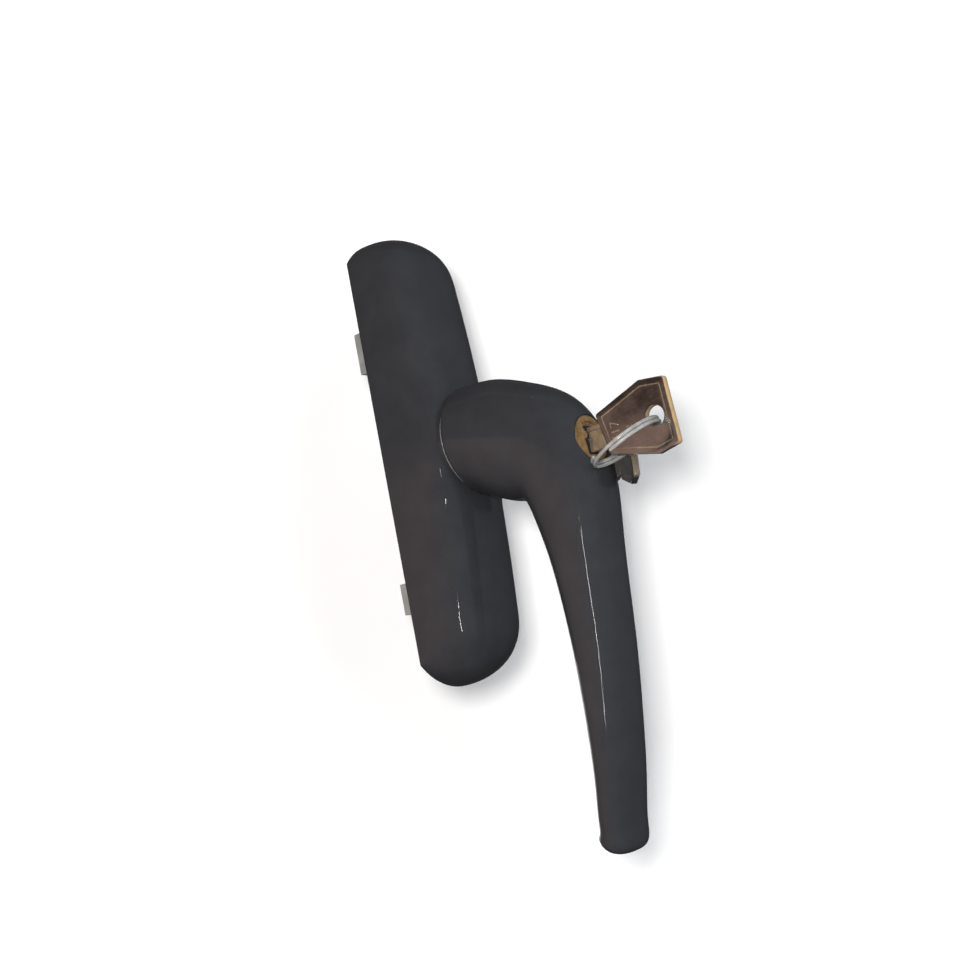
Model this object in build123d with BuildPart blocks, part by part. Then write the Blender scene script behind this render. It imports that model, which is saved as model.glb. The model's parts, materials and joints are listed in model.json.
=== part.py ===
from build123d import *
from math import acos, cos, exp, pi, radians, sin, sqrt, tan
import os

# A locking handle for a casement window. X is to the right, seen from the room, Y points
# into the window frame and Z is up. The origin is on the spindle's axis, in the mounting face.
# "Forward" is the distance from the mounting face towards the room.

# Clearances
running_gap = 0.05      # round a turning journal
sliding_gap = 0.10      # round what slides
seat_gap = 0.10         # between stacked pieces that don't turn together
fit_gap = 0.05          # round what is pushed in and stays

# Base cover
base_length = 160.0
base_width = 38.4
base_depth = 25.3       # at the spindle
end_drop = 5.6          # how much lower the front is at the two ends
end_arch = 9.2          # rise of the arched ends
end_rounding = 16.0     # how far from each end the front begins to fall
side_exponent = 3.0     # squareness of the section
neck_exponent = 8.0     # squareness where the cover swells to meet the neck
neck_swell = 15.0       # half the height of that swelling
end_exponent = 2.2
cover_wall = 1.8
pedestal_radius = 16.9
pedestal_height = 25.7
neck_opening_radius = 15.5

# Back plate
plate_thickness = 2.5
plate_gap = 0.3
rail_thickness = 1.2
rail_half_length = 54.0
hub_floor = 0.6
fixing_inset = 18.0     # from each end of the cover
fixing_hole_radius = 2.1
fixing_boss_radius = 4.6
fixing_boss_height = 12.0
post_spacing = 0.7      # between a fixing boss and the cover's screw post
cover_screw_radius = 1.5
cover_screw_length = 9.0
cover_screw_head = 2.9
cover_post_radius = 3.2

# Rack and pinion
gear_module = 1.25
pinion_teeth = 16
gear_depth = 7.0
pressure_angle = 20.0
rack_bar = 3.5
pinion_hub_radius = 7.0
pinion_hub_length = 1.9
mesh_backlash = 0.12

# Drive lugs
lug_width = 10.0
lug_reach = 17.2
upper_lug_top = 51.0
upper_lug_height = 15.0
lower_lug_bottom = -52.0
lower_lug_height = 11.0
lug_chamfer = 1.2

# Front plate and index socket
front_plate_thickness = 2.0
front_plate_half_width = 15.8
front_plate_half_height = 34.0
plate_post_radius = 2.8
plate_post_across = 9.6
plate_post_up = 29.0
plate_screw_radius = 1.25
plate_screw_length = 7.0
plate_screw_head = 2.3
plate_head_height = 1.5
socket_radius = 15.2
socket_face = 26.0
socket_screw_circle = 11.2
socket_screw_angle = 45.0
socket_screw_radius = 1.0
socket_screw_length = 6.0
socket_screw_head = 1.8

# Turning limits
handle_turn = pi/2

# Lever: rear point and front point (forward, up) of each section, half width, squareness
neck_face = 26.3
neck_foot_radius = 18.8
neck_foot_rounding = 2.1
washer_thickness = 0.5
washer_inner_radius = 15.6
washer_outer_radius = 16.6
lever_sections = (
    ((31.5, -20.3), (33.0, 18.7), 18.7, 2.0),
    ((38.5, -23.6), (44.7, 16.6), 18.2, 2.05),
    ((43.5, -25.0), (55.6, 12.0), 17.2, 2.1),
    ((47.4, -27.4), (66.0, 5.6), 15.8, 2.2),
    ((49.6, -35.0), (74.3, -7.6), 14.4, 2.35),
    ((52.4, -50.0), (74.3, -40.0), 12.7, 2.5),
    ((54.1, -73.0), (70.9, -72.0), 11.7, 2.6),
    ((54.0, -97.0), (67.2, -98.5), 11.2, 2.6),
    ((52.9, -116.5), (63.3, -119.5), 10.8, 2.6),
    ((51.6, -126.0), (60.9, -130.0), 10.5, 2.6),
    ((50.5, -132.5), (59.0, -139.8), 10.1, 2.6),
)
tip_rounding = 2.8

# Spindle
spindle_square = 7.0
spindle_reach = 18.0    # depth of the square hole in the neck
collar_radius = 6.0
spindle_end_radius = 3.4
clip_radius = 5.0
clip_thickness = 0.8
clip_groove_radius = 2.6
clip_mouth = 3.6

# Detent
ball_radius = 1.25
ball_circle = 8.4
ball_drop = 0.9         # how far a ball stands out of the neck
track_gap = 0.06
dimple_radius = 1.5
detent_spring_length = 7.0
spring_wire = 0.4

# Lock
lock_drop = 12.0        # lock axis below the spindle axis
lock_face = 73.0
housing_radius = 8.5
housing_length = 21.8
housing_groove = 0.9
plug_radius = 6.2
plug_length = 23.8
plug_recess = 0.1
keyway_floor = 52.4
tail_square = 4.8
tail_length = 3.2
plug_clip_radius = 7.6
plug_clip_thickness = 0.7
plug_clip_groove = 5.2
retainer_radius = 1.25
retainer_bite = 1.4     # how deep the cross pin cuts into the housing
retainer_inset = 5.8    # from the housing's inner end
retainer_inner_end = -6.0
retainer_outer_end = 11.6
wafer_count = 5
wafer_pitch = 2.9
wafer_first = 57.0
wafer_thickness = 1.3
wafer_width = 5.2
wafer_wall = 1.1
wafer_spring_radius = 0.45
wafer_spring_length = 3.0

# Locking pin and its cam sleeve
sleeve_radius = 5.0
sleeve_length = 13.3
locking_pin_radius = 2.0
locking_pin_length = 18.4
locking_pin_flat = 1.5
locking_pin_recess = 0.1
locking_travel = 5.0
cross_pin_radius = 1.0
cross_pin_length = 8.6
cross_pin_inset = 2.0   # from the locking pin's inner end
cam_gap = 0.15
cam_steps = 15
lock_hole_radius = 2.2
lock_hole_depth = 6.5

# Keys
key_thickness = 2.2
blade_height = 8.2
blade_length = 26.5
blade_groove = 0.55
keyway_gap = 0.3
bow_start = 79.5
bow_corners = ((79.5, -6.7), (97.5, -10.9), (105.5, -9.3), (104.5, 12.1), (95.2, 13.3), (76.9, 7.2))
bow_hole_radius = 3.3
bow_hole = (98.7, 0.8)
bow_corner = 1.0
cut_depths = (1.0, 1.6, 0.7, 1.4, 0.9)
cut_half_width = 0.5

# Key ring
ring_radius = 12.0
ring_wire_radius = 0.6
ring_pitch = 1.3
ring_turns = 1.9
ring_touch = (78.0, -20.5)      # forward and up, where it crosses the key's plane again
ring_lean = 10.0

# Second key, threaded on the far side of the ring
spare_hole = (7.22, -82.18, -16.67)
spare_axis = (0.732, 0.681, 0.007)        # from the bow's hole to the blade's tip
spare_face = (-0.679, 0.730, 0.083)


def facing(forward):
    return Plane.XZ.offset(forward)


def lock_facing(forward):
    return Plane(origin=(0, -forward, -lock_drop), x_dir=(1, 0, 0), z_dir=(0, -1, 0))


def superellipse_point(angle, exponent):
    reach = (abs(sin(angle))**exponent + abs(cos(angle))**exponent)**(-1/exponent)
    return reach*sin(angle), reach*cos(angle)


# The domed form of the cover, inset by a wall: a four-sided patch over a flat back
def cover_form(wall):
    half_width = base_width/2 - wall
    half_length = base_length/2 - wall
    depth = base_depth - wall
    arch_radius = (half_width**2 + end_arch**2)/(2*end_arch)
    across_angles = [radians(angle) for angle in range(-90, 91, 9)]
    end_points = [superellipse_point(radians(angle), end_exponent) for angle in range(0, 91, 10)]

    def row(height, run_in, share):
        points = []
        for angle in across_angles:
            z = share*(half_length - run_in)
            squareness = side_exponent + (neck_exponent - side_exponent)*exp(-(z/neck_swell)**4)
            across, lift = superellipse_point(angle, squareness)
            x = across*half_width
            rim = half_length - arch_radius + sqrt(arch_radius**2 - x**2)
            z = share*(rim - run_in)
            front = depth - end_drop*(z/half_length)**2
            points.append(Vector(x, -front*lift*height, z))
        return points

    ends = [(height, end_rounding*(1 - inward)) for height, inward in end_points]
    rows = [row(height, run_in, -1) for height, run_in in ends]
    rows += [row(1, end_rounding, step/16) for step in range(-15, 16)]
    rows += [row(height, run_in, 1) for height, run_in in reversed(ends)]
    skin = Face.make_surface_from_array_of_points(rows, tol=0.02)
    return Solid(Shell([skin, Face(skin.outer_wire())]))


# Base cover: an open-backed shell with a pedestal under the neck and two screw posts
fixing_spacing = base_length - 2*fixing_inset
cover_screw_spacing = fixing_spacing + 2*(fixing_boss_radius + cover_post_radius + post_spacing)
cover_cavity = cover_form(cover_wall)
with BuildPart() as cover_hollow:
    add(cover_cavity)
    with BuildSketch(facing(plate_thickness)):
        with GridLocations(0, cover_screw_spacing, 1, 2):
            Circle(cover_post_radius)
    extrude(amount=base_depth, mode=Mode.SUBTRACT)

with BuildPart() as base_cover:
    add(cover_form(0))
    with BuildSketch(facing(plate_thickness)):
        Circle(pedestal_radius)
    extrude(amount=pedestal_height - plate_thickness)
    add(cover_hollow.part, mode=Mode.SUBTRACT)
    with BuildSketch(facing(0)):
        Circle(neck_opening_radius)
    extrude(amount=base_depth + neck_face, mode=Mode.SUBTRACT)
    with BuildSketch(facing(0)):
        with GridLocations(0, cover_screw_spacing, 1, 2):
            Circle(cover_screw_radius + fit_gap)
    extrude(amount=cover_screw_length + seat_gap, mode=Mode.SUBTRACT)
base_cover.part.label = "base_cover"


# Machine screws, seen from the room: step 1 points forward, -1 points into the window frame
def screws(places, radius, length, head_radius, head_height, head_forward, step):
    recess = radius*0.8
    with BuildPart() as group:
        with BuildSketch(facing(head_forward)):
            with Locations(*places):
                Circle(head_radius)
        extrude(amount=step*head_height, taper=45 if head_height <= head_radius - radius else 0)
        with BuildSketch(facing(head_forward)):
            with Locations(*places):
                Circle(radius)
        extrude(amount=step*length)
        with BuildSketch(facing(head_forward)):
            with Locations(*places):
                RegularPolygon(recess, 6)
        extrude(amount=step*recess, mode=Mode.SUBTRACT)
    return group.part


# Back plate: rack rails, fixing bosses, posts and the slots for the drive lugs
pitch_radius = gear_module*pinion_teeth/2
travel = pitch_radius*handle_turn
rack_outer = pitch_radius + 1.25*gear_module + rack_bar
rail_inner = rack_outer + sliding_gap
rack_back = plate_thickness + sliding_gap
rack_front = rack_back + gear_depth
front_plate_back = rack_front + sliding_gap
front_plate_front = front_plate_back + front_plate_thickness
upper_lug_bottom = upper_lug_top - upper_lug_height
lower_lug_top = lower_lug_bottom + lower_lug_height
upper_slot = (upper_lug_bottom - travel - sliding_gap, upper_lug_top + sliding_gap)
lower_slot = (lower_lug_bottom - sliding_gap, lower_lug_top + travel + sliding_gap)
plate_posts = [(plate_post_across, plate_post_up), (-plate_post_across, -plate_post_up)]
cover_screw_places = [(0, cover_screw_spacing/2), (0, -cover_screw_spacing/2)]

with BuildPart() as back_plate:
    plate_half_width = base_width/2 - cover_wall - plate_gap
    plate_half_length = base_length/2 - cover_wall - plate_gap
    plate_shoulder = plate_half_length - end_arch
    with BuildSketch(facing(0)):
        with BuildLine():
            Line((-plate_half_width, -plate_shoulder), (-plate_half_width, plate_shoulder))
            ThreePointArc((-plate_half_width, plate_shoulder), (0, plate_half_length),
                          (plate_half_width, plate_shoulder))
            Line((plate_half_width, plate_shoulder), (plate_half_width, -plate_shoulder))
            ThreePointArc((plate_half_width, -plate_shoulder), (0, -plate_half_length),
                          (-plate_half_width, -plate_shoulder))
        make_face()
        for low, high in (upper_slot, lower_slot):
            with Locations((0, (low + high)/2)):
                Rectangle(lug_width + 2*sliding_gap, high - low, mode=Mode.SUBTRACT)
    extrude(amount=plate_thickness)
    with BuildSketch(facing(plate_thickness)):
        with GridLocations(2*rail_inner + rail_thickness, 0, 2, 1):
            Rectangle(rail_thickness, 2*rail_half_length)
        with Locations(*plate_posts):
            Circle(plate_post_radius)
    extrude(amount=front_plate_back - plate_thickness)
    with BuildSketch(facing(plate_thickness)):
        with GridLocations(0, fixing_spacing, 1, 2):
            Circle(fixing_boss_radius)
    extrude(amount=fixing_boss_height - plate_thickness)
    with BuildSketch(facing(hub_floor)):
        Circle(pinion_hub_radius + running_gap)
    extrude(amount=plate_thickness, mode=Mode.SUBTRACT)
    with BuildSketch(facing(0)):
        with GridLocations(0, fixing_spacing, 1, 2):
            Circle(fixing_hole_radius)
    extrude(amount=fixing_boss_height, mode=Mode.SUBTRACT)
    with BuildSketch(facing(plate_thickness)):
        with Locations(*plate_posts):
            Circle(plate_screw_radius + fit_gap)
    extrude(amount=front_plate_back, mode=Mode.SUBTRACT)
    with BuildSketch(facing(0)):
        with Locations(*cover_screw_places):
            Circle(cover_screw_radius + fit_gap)
    extrude(amount=plate_thickness, mode=Mode.SUBTRACT)
    with BuildSketch(facing(0)):
        with Locations(*cover_screw_places):
            Circle(cover_screw_head + fit_gap)
    extrude(amount=cover_screw_head - cover_screw_radius, taper=45, mode=Mode.SUBTRACT)
back_plate.part.label = "back_plate"

cover_screws = screws(cover_screw_places, cover_screw_radius, cover_screw_length,
                      cover_screw_head, cover_screw_head - cover_screw_radius, 0, 1)
cover_screws.label = "cover_screws"

# Front plate: carries the pinion's front journal and the index socket
socket_screw_places = [(socket_screw_circle*cos(radians(angle)), socket_screw_circle*sin(radians(angle)))
                       for angle in (socket_screw_angle, socket_screw_angle + 180)]
with BuildPart() as front_plate:
    with BuildSketch(facing(front_plate_back)):
        RectangleRounded(2*front_plate_half_width, 2*front_plate_half_height, plate_post_radius)
        Circle(pinion_hub_radius + running_gap, mode=Mode.SUBTRACT)
        with Locations(*plate_posts):
            Circle(plate_screw_radius + fit_gap, mode=Mode.SUBTRACT)
        with Locations(*socket_screw_places):
            Circle(socket_screw_radius + fit_gap, mode=Mode.SUBTRACT)
    extrude(amount=front_plate_thickness)
    with BuildSketch(facing(front_plate_back)):
        with Locations(*socket_screw_places):
            Circle(socket_screw_head + fit_gap)
    extrude(amount=socket_screw_head - socket_screw_radius, taper=45, mode=Mode.SUBTRACT)
front_plate.part.label = "front_plate"

plate_screws = screws(plate_posts, plate_screw_radius, -plate_screw_length,
                      plate_screw_head, -plate_head_height, front_plate_front, -1)
plate_screws.label = "plate_screws"

socket_screws = screws(socket_screw_places, socket_screw_radius, socket_screw_length,
                       socket_screw_head, socket_screw_head - socket_screw_radius, front_plate_back, 1)
socket_screws.label = "socket_screws"

# Index socket: the spindle's bearing, the ball track and the two lock holes
ball_forward = neck_face - ball_drop + ball_radius
with BuildPart() as index_socket:
    with BuildSketch(facing(front_plate_front)):
        Circle(socket_radius)
        Circle(collar_radius + running_gap, mode=Mode.SUBTRACT)
    extrude(amount=socket_face - front_plate_front)
    with BuildSketch(Plane.XY) as track_section:
        with Locations((ball_circle, -ball_forward)):
            Circle(ball_radius + track_gap)
    revolve(axis=Axis.Y, mode=Mode.SUBTRACT)
    with Locations(facing(ball_forward)):
        with PolarLocations(ball_circle, 4):
            Sphere(dimple_radius, mode=Mode.SUBTRACT)
    with BuildSketch(facing(socket_face)):
        with Locations((0, -lock_drop), (lock_drop, 0)):
            Circle(lock_hole_radius)
    extrude(amount=-lock_hole_depth, mode=Mode.SUBTRACT)
    with BuildSketch(facing(front_plate_front)):
        with Locations(*socket_screw_places):
            Circle(socket_screw_radius + fit_gap)
    extrude(amount=socket_screw_length, mode=Mode.SUBTRACT)
index_socket.part.label = "index_socket"

with BuildPart() as neck_washer:
    with BuildSketch(facing(pedestal_height)):
        Circle(washer_outer_radius)
        Circle(washer_inner_radius, mode=Mode.SUBTRACT)
    extrude(amount=washer_thickness)
neck_washer.part.label = "neck_washer"


# Pinion: involute teeth, a journal at each side and a square hole for the spindle
def involute(angle):
    return tan(angle) - angle


def pinion_outline():
    base = pitch_radius*cos(radians(pressure_angle))
    root = pitch_radius - 1.25*gear_module
    tip = pitch_radius + gear_module
    half_tooth = pi/(2*pinion_teeth) - mesh_backlash/(4*pitch_radius)
    flank = []
    for step in range(6):
        radius = base + (tip - base)*step/5
        lean = involute(radians(pressure_angle)) - involute(acos(base/radius))
        flank.append((radius, half_tooth + lean))
    flank.insert(0, (root, flank[0][1]))
    points = []
    for tooth in range(pinion_teeth):
        middle = 2*pi*tooth/pinion_teeth
        sides = [(radius, middle - angle) for radius, angle in flank]
        sides += [(radius, middle + angle) for radius, angle in reversed(flank)]
        points += [(radius*cos(angle), radius*sin(angle)) for radius, angle in sides]
    return points


hub_back = rack_back - pinion_hub_length
hub_front = rack_front + pinion_hub_length
clip_seat = hub_back + clip_thickness + 2*running_gap + fit_gap
with BuildPart() as pinion:
    with BuildSketch(facing(rack_back)):
        with BuildLine():
            Polyline(*pinion_outline(), close=True)
        make_face()
    extrude(amount=gear_depth)
    with BuildSketch(facing(hub_back)):
        Circle(pinion_hub_radius)
    extrude(amount=hub_front - hub_back)
    with BuildSketch(facing(hub_back)):
        Rectangle(spindle_square + 2*fit_gap, spindle_square + 2*fit_gap)
    extrude(amount=hub_front - hub_back, mode=Mode.SUBTRACT)
    with BuildSketch(facing(hub_back)):
        Circle(clip_radius + sliding_gap)
    extrude(amount=clip_seat - hub_back, mode=Mode.SUBTRACT)
pinion.part.label = "pinion"


# Racks: a toothed bar beside the pinion, with an arm to the drive lug on the centre line
def rack(side, first_tooth, bar_end, lug_low, lug_high):
    tooth_pitch = pi*gear_module
    slope = tan(radians(pressure_angle))
    half_tooth = tooth_pitch/4 - mesh_backlash/4
    root = pitch_radius + 1.25*gear_module
    tip = pitch_radius - 0.95*gear_module
    low = min(bar_end, lug_low)
    high = max(bar_end, lug_high)
    with BuildPart() as bar:
        with BuildSketch(facing(rack_back)):
            with Locations((side*(root + rack_outer)/2, (low + high)/2)):
                Rectangle(rack_outer - root, high - low)
            for tooth in range(first_tooth, first_tooth + 8):
                middle = (tooth + 0.5)*tooth_pitch
                wide = half_tooth + (root - pitch_radius)*slope
                narrow = half_tooth - (pitch_radius - tip)*slope
                with BuildLine():
                    Polyline((side*root, middle - wide), (side*tip, middle - narrow),
                             (side*tip, middle + narrow), (side*root, middle + wide), close=True)
                make_face()
            with Locations((side*(rack_outer - lug_width/2)/2, (lug_low + lug_high)/2)):
                Rectangle(rack_outer + lug_width/2, lug_high - lug_low)
        extrude(amount=gear_depth)
        with BuildSketch(facing(rack_back)):
            with Locations((0, (lug_low + lug_high)/2)):
                Rectangle(lug_width, lug_high - lug_low)
        extrude(amount=-(rack_back + lug_reach))
        chamfer(bar.faces().sort_by(Axis.Y)[-1].edges(), lug_chamfer)
    return bar.part


rack_run_out = 2*pi*gear_module
upper_rack = rack(-1, -2, -rack_run_out, upper_lug_bottom, upper_lug_top)
upper_rack.label = "upper_rack"
lower_rack = rack(1, -6, rack_run_out, lower_lug_bottom, lower_lug_top)
lower_rack.label = "lower_rack"

# Spindle: square steel with a turned collar and a clip groove at its inner end
spindle_top = neck_face + spindle_reach
spindle_back = hub_back + running_gap
with BuildPart() as spindle:
    with BuildSketch(facing(clip_seat + running_gap)):
        Rectangle(spindle_square, spindle_square)
    extrude(amount=spindle_top - clip_seat - running_gap)
    chamfer(spindle.edges().filter_by(Axis.Y), 0.5)
    with BuildSketch(facing(spindle_back)):
        Circle(spindle_end_radius)
    extrude(amount=rack_back)
    with BuildSketch(facing(hub_front + seat_gap)):
        Circle(collar_radius)
    extrude(amount=neck_face - hub_front - seat_gap - running_gap)
    with BuildSketch(facing(clip_seat - clip_thickness - 2*running_gap)):
        Circle(spindle_end_radius + seat_gap)
        Circle(clip_groove_radius, mode=Mode.SUBTRACT)
    extrude(amount=clip_thickness + 2*running_gap, mode=Mode.SUBTRACT)
spindle.part.label = "spindle"


def open_clip(outer, inner, mouth, thickness, plane):
    with BuildPart() as ring:
        with BuildSketch(plane):
            Circle(outer)
            Circle(inner, mode=Mode.SUBTRACT)
            with Locations((0, -outer)):
                Rectangle(mouth, 2*outer, mode=Mode.SUBTRACT)
        extrude(amount=thickness)
    return ring.part


spindle_clip = open_clip(clip_radius, clip_groove_radius + fit_gap, clip_mouth, clip_thickness,
                         facing(clip_seat - clip_thickness - running_gap))
spindle_clip.label = "spindle_clip"

# Lock positions, from the face inward
plug_face = lock_face - plug_recess
plug_back = plug_face - plug_length
housing_back = lock_face - housing_length
retainer_forward = housing_back + retainer_inset
lock_bore_floor = plug_back - sliding_gap
sleeve_front = lock_bore_floor - sliding_gap
sleeve_back = sleeve_front - sleeve_length
sleeve_bore_floor = sleeve_back - sliding_gap
locking_tip = neck_face + locking_pin_recess
locking_top = locking_tip + locking_pin_length
cross_pin_forward = locking_top - cross_pin_inset
retainer_drop = lock_drop + housing_radius + retainer_radius - retainer_bite


# Half of one section's outline, moved in and along for the rounding at the two ends
def lever_row(section, inset=0.0, ahead=0.0):
    rear, front, half_width, exponent = section
    length = sqrt((front[0] - rear[0])**2 + (front[1] - rear[1])**2)
    lean = ((front[0] - rear[0])/length, (front[1] - rear[1])/length)
    middle = ((rear[0] + front[0])/2 + lean[1]*ahead, (rear[1] + front[1])/2 - lean[0]*ahead)
    points = []
    for angle in range(0, 181, 10):
        across, up = superellipse_point(radians(angle), exponent)
        reach = up*(length/2 - inset)
        forward = middle[0] + lean[0]*reach
        points.append(Vector(across*(half_width - inset), -forward, middle[1] + lean[1]*reach))
    return points


def rounding(radius):
    angles = [radians(angle) for angle in range(0, 90, 18)]
    return [(radius*(1 - sin(angle)), radius*cos(angle)) for angle in angles]


# Lever: the casting that holds the spindle, the detent and the lock
neck_rim = neck_face + neck_foot_rounding
neck_foot = ((neck_rim, -neck_foot_radius), (neck_rim, neck_foot_radius), neck_foot_radius, 2.0)
lever_rows = [lever_row(neck_foot, inset, -height) for inset, height in rounding(neck_foot_rounding)]
lever_rows += [lever_row(section) for section in (neck_foot, *lever_sections)]
lever_rows += [lever_row(lever_sections[-1], inset, height)
               for inset, height in reversed(rounding(tip_rounding))]
right_skin = Face.make_surface_from_array_of_points(lever_rows, tol=0.02)
foot_edge = right_skin.edges().sort_by(Axis.Y)[-1]
tip_edge = right_skin.edges().sort_by(Axis.Z)[0]
end_caps = [Face(Wire([edge, edge.mirror(Plane.YZ)])) for edge in (foot_edge, tip_edge)]
with BuildPart() as lever:
    add(Solid(Shell([right_skin, right_skin.mirror(Plane.YZ), *end_caps])))
    with BuildSketch(facing(neck_face)):
        Rectangle(spindle_square + 2*fit_gap, spindle_square + 2*fit_gap)
    extrude(amount=spindle_reach + fit_gap, mode=Mode.SUBTRACT)
    with BuildSketch(facing(neck_face)):
        with GridLocations(2*ball_circle, 0, 2, 1):
            Circle(ball_radius + fit_gap)
    extrude(amount=2*ball_radius - ball_drop + detent_spring_length, mode=Mode.SUBTRACT)
    with BuildSketch(lock_facing(lock_bore_floor)):
        Circle(housing_radius + fit_gap)
    extrude(amount=lock_face, mode=Mode.SUBTRACT)
    with BuildSketch(lock_facing(sleeve_bore_floor)):
        Circle(sleeve_radius + running_gap)
    extrude(amount=sleeve_length + 2*sliding_gap, mode=Mode.SUBTRACT)
    with BuildSketch(lock_facing(neck_face)):
        Circle(locking_pin_radius + sliding_gap)
        with Locations((locking_pin_flat + sliding_gap, 0)):
            Rectangle(locking_pin_radius, 2*locking_pin_radius + 1, align=(Align.MIN, Align.CENTER),
                      mode=Mode.SUBTRACT)
    extrude(amount=sleeve_bore_floor - neck_face, mode=Mode.SUBTRACT)
    with BuildSketch(Plane.YZ.offset(retainer_inner_end)):
        with Locations((-retainer_forward, -retainer_drop)):
            Circle(retainer_radius)
    extrude(amount=neck_foot_radius - retainer_inner_end, mode=Mode.SUBTRACT)
lever.part.label = "lever"

# Detent: two balls and the springs that push them out of the neck
with BuildPart(facing(ball_forward)) as detent_balls:
    with GridLocations(2*ball_circle, 0, 2, 1):
        Sphere(ball_radius)
detent_balls.part.label = "detent_balls"

with BuildPart() as detent_springs:
    with BuildSketch(facing(neck_face - ball_drop + 2*ball_radius)):
        with GridLocations(2*ball_circle, 0, 2, 1):
            Circle(ball_radius - fit_gap)
            Circle(ball_radius - fit_gap - spring_wire, mode=Mode.SUBTRACT)
    extrude(amount=detent_spring_length - fit_gap)
detent_springs.part.label = "detent_springs"

# Lock housing: a plain barrel with a groove above and below the plug, held by a cross pin
with BuildPart() as lock_housing:
    with BuildSketch(lock_facing(housing_back)):
        Circle(housing_radius)
    extrude(amount=housing_length)
    chamfer(lock_housing.edges().sort_by(Axis.Y)[0], 0.4)
    with BuildSketch(lock_facing(housing_back)):
        Circle(plug_radius + running_gap)
    extrude(amount=housing_length, mode=Mode.SUBTRACT)
    with BuildSketch(lock_facing(housing_back)):
        Rectangle(wafer_width, 2*(plug_radius + housing_groove))
    extrude(amount=housing_length - 2, mode=Mode.SUBTRACT)
    with BuildSketch(Plane.YZ):
        with Locations((-retainer_forward, -retainer_drop)):
            Circle(retainer_radius + fit_gap)
    extrude(amount=housing_radius, both=True, mode=Mode.SUBTRACT)
lock_housing.part.label = "lock_housing"

with BuildPart() as lock_retainer:
    with BuildSketch(Plane.YZ.offset(retainer_inner_end)):
        with Locations((-retainer_forward, -retainer_drop)):
            Circle(retainer_radius)
    extrude(amount=retainer_outer_end - retainer_inner_end)
    chamfer(lock_retainer.edges().filter_by(GeomType.CIRCLE), 0.2)
lock_retainer.part.label = "lock_retainer"


# The blade's section, with a groove along each side; the gap makes the plug's keyway from it
def blade_section(plane, gap):
    groove_edge = key_thickness/2 - blade_groove + gap
    groove_height = blade_height/4 - 2*gap
    with BuildSketch(plane) as section:
        Rectangle(key_thickness + 2*gap, blade_height + 2*gap)
        for side in (-1, 1):
            with Locations((side*groove_edge, -side*blade_height/5)):
                Rectangle(key_thickness, groove_height, align=(Align.MIN if side > 0 else Align.MAX,
                                                               Align.CENTER), mode=Mode.SUBTRACT)
    return section.sketch


# Plug: keyway, wafer slots, a groove for its clip and a square tail for the cam sleeve
wafer_places = [wafer_first + wafer_pitch*number for number in range(wafer_count)]
wafer_slot = wafer_thickness + 2*sliding_gap
spring_pocket = (wafer_width/2 + sliding_gap, wafer_width/2 + 2*wafer_spring_radius + 3*sliding_gap)
with BuildPart() as lock_plug:
    with BuildSketch(lock_facing(plug_back)):
        Circle(plug_radius)
    extrude(amount=plug_length)
    chamfer(lock_plug.edges().sort_by(Axis.Y)[0], 0.3)
    with BuildSketch(lock_facing(plug_back)):
        Rectangle(tail_square, tail_square)
    extrude(amount=-tail_length)
    extrude(blade_section(lock_facing(keyway_floor), keyway_gap), amount=plug_length, mode=Mode.SUBTRACT)
    for place in wafer_places:
        with BuildSketch(lock_facing(place - wafer_slot/2)):
            Rectangle(wafer_width + 2*sliding_gap, 2*plug_radius)
            with Locations((spring_pocket[0], 0)):
                Rectangle(spring_pocket[1] - spring_pocket[0], wafer_spring_length + 1.2,
                          align=(Align.MIN, Align.MIN))
        extrude(amount=wafer_slot, mode=Mode.SUBTRACT)
    with BuildSketch(lock_facing(housing_back - sliding_gap - plug_clip_thickness - running_gap)):
        Circle(plug_radius + 1)
        Circle(plug_clip_groove, mode=Mode.SUBTRACT)
    extrude(amount=plug_clip_thickness + 2*running_gap, mode=Mode.SUBTRACT)
lock_plug.part.label = "lock_plug"

plug_clip = open_clip(plug_clip_radius, plug_clip_groove + fit_gap, plug_clip_groove, plug_clip_thickness,
                      lock_facing(housing_back - sliding_gap - plug_clip_thickness))
plug_clip.label = "plug_clip"

with BuildPart() as wafers:
    for place in wafer_places:
        with BuildSketch(lock_facing(place - wafer_thickness/2)):
            Circle(plug_radius - sliding_gap)
            Rectangle(wafer_width, 2*plug_radius, mode=Mode.INTERSECT)
            Rectangle(wafer_width - 2*wafer_wall, blade_height + 2*wafer_wall, mode=Mode.SUBTRACT)
            with Locations((wafer_width/2, sliding_gap)):
                Rectangle(2*wafer_spring_radius, 2*wafer_spring_radius, align=(Align.MIN, Align.MIN))
        extrude(amount=wafer_thickness)
wafers.part.label = "wafers"

with BuildPart() as wafer_springs:
    for place in wafer_places:
        spring_foot = 2*wafer_spring_radius + sliding_gap - lock_drop
        with BuildSketch(Plane.XY.offset(spring_foot)):
            with Locations((spring_pocket[0] + wafer_spring_radius, -place)):
                Circle(wafer_spring_radius)
    extrude(amount=wafer_spring_length)
wafer_springs.part.label = "wafer_springs"

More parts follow.
